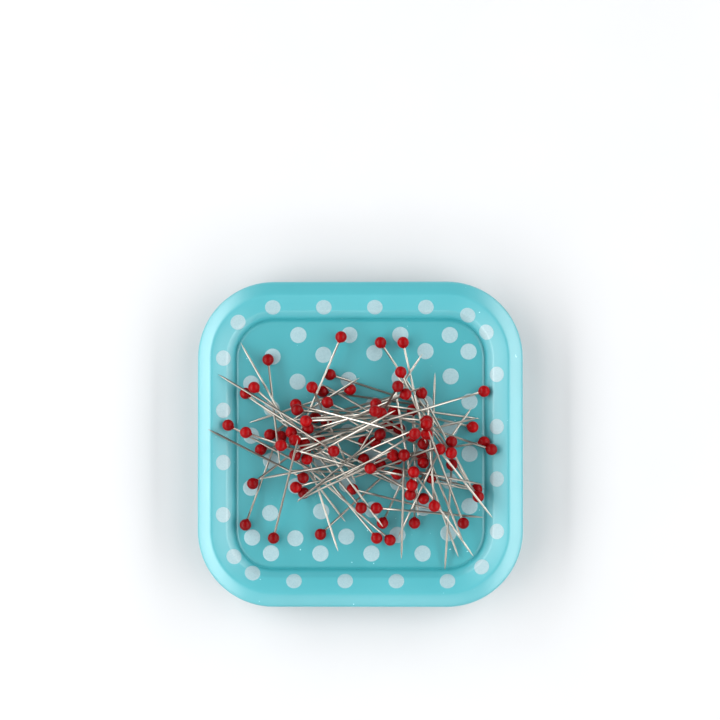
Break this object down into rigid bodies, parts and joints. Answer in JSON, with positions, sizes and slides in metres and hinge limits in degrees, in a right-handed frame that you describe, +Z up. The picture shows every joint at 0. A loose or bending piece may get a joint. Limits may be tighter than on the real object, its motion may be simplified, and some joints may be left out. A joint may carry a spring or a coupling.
{
  "type": "magnetic pin cushion",
  "caption": "Shallow rounded-square polka-dot dish with two magnets under its floor, holding a heap of red glass-headed steel pins.",
  "frame": {"origin": "centre of the dish, on the surface that its feet stand on", "axes": "+Z up out of the dish, +X to its right and +Y to its far side as pictured from above"},
  "size_m": [0.0866, 0.0866, 0.0251],
  "materials": {
    "dish_plastic": "gloss",
    "cover_plastic": "satin",
    "yoke_steel": "zinc plated",
    "ferrite": "matte",
    "foot_rubber": "matte",
    "pin": "gloss"
  },
  "bodies": {
    "tray": {"tray_shell": "dish_plastic", "base_cover": "cover_plastic", "yoke_plate": "yoke_steel", "magnet_left": "ferrite", "magnet_right": "ferrite", "rubber_foot_1": "foot_rubber", "rubber_foot_2": "foot_rubber", "rubber_foot_3": "foot_rubber", "rubber_foot_4": "foot_rubber"},
    "heap": {"heap_pin_1": "pin", "heap_pin_2": "pin", "heap_pin_3": "pin", "heap_pin_4": "pin", "heap_pin_5": "pin", "heap_pin_6": "pin", "heap_pin_7": "pin", "heap_pin_8": "pin", "heap_pin_9": "pin", "heap_pin_10": "pin", "heap_pin_11": "pin", "heap_pin_12": "pin", "heap_pin_13": "pin", "heap_pin_14": "pin", "heap_pin_15": "pin", "heap_pin_16": "pin", "heap_pin_17": "pin", "heap_pin_18": "pin", "heap_pin_19": "pin", "heap_pin_20": "pin", "heap_pin_21": "pin", "heap_pin_22": "pin", "heap_pin_23": "pin", "heap_pin_24": "pin", "heap_pin_25": "pin", "heap_pin_26": "pin", "heap_pin_27": "pin", "heap_pin_28": "pin", "heap_pin_29": "pin", "heap_pin_30": "pin", "heap_pin_31": "pin", "heap_pin_32": "pin", "heap_pin_33": "pin", "heap_pin_34": "pin", "heap_pin_35": "pin", "heap_pin_36": "pin", "heap_pin_37": "pin", "heap_pin_38": "pin", "heap_pin_39": "pin", "heap_pin_40": "pin", "heap_pin_41": "pin", "heap_pin_42": "pin", "heap_pin_43": "pin", "heap_pin_44": "pin", "heap_pin_45": "pin"},
    "loose_pin_1": {"loose_pin_1": "pin"},
    "loose_pin_2": {"loose_pin_2": "pin"},
    "loose_pin_3": {"loose_pin_3": "pin"},
    "loose_pin_4": {"loose_pin_4": "pin"},
    "loose_pin_5": {"loose_pin_5": "pin"},
    "loose_pin_6": {"loose_pin_6": "pin"}
  },
  "joints": [
    {"name": "heap_lift", "type": "slide", "parent": "tray", "child": "heap", "axis": [0, 0, 1], "range_m": [0, 0.03]},
    {"name": "loose_pin_1_lift", "type": "slide", "parent": "heap", "child": "loose_pin_1", "axis": [0, 0, 1], "range_m": [0, 0.03]},
    {"name": "loose_pin_2_lift", "type": "slide", "parent": "heap", "child": "loose_pin_2", "axis": [0, 0, 1], "range_m": [0, 0.03]},
    {"name": "loose_pin_3_lift", "type": "slide", "parent": "heap", "child": "loose_pin_3", "axis": [0, 0, 1], "range_m": [0, 0.03]},
    {"name": "loose_pin_4_lift", "type": "slide", "parent": "heap", "child": "loose_pin_4", "axis": [0, 0, 1], "range_m": [0, 0.03]},
    {"name": "loose_pin_5_lift", "type": "slide", "parent": "heap", "child": "loose_pin_5", "axis": [0, 0, 1], "range_m": [0, 0.03]},
    {"name": "loose_pin_6_lift", "type": "slide", "parent": "heap", "child": "loose_pin_6", "axis": [0, 0, 1], "range_m": [0, 0.03]}
  ]
}
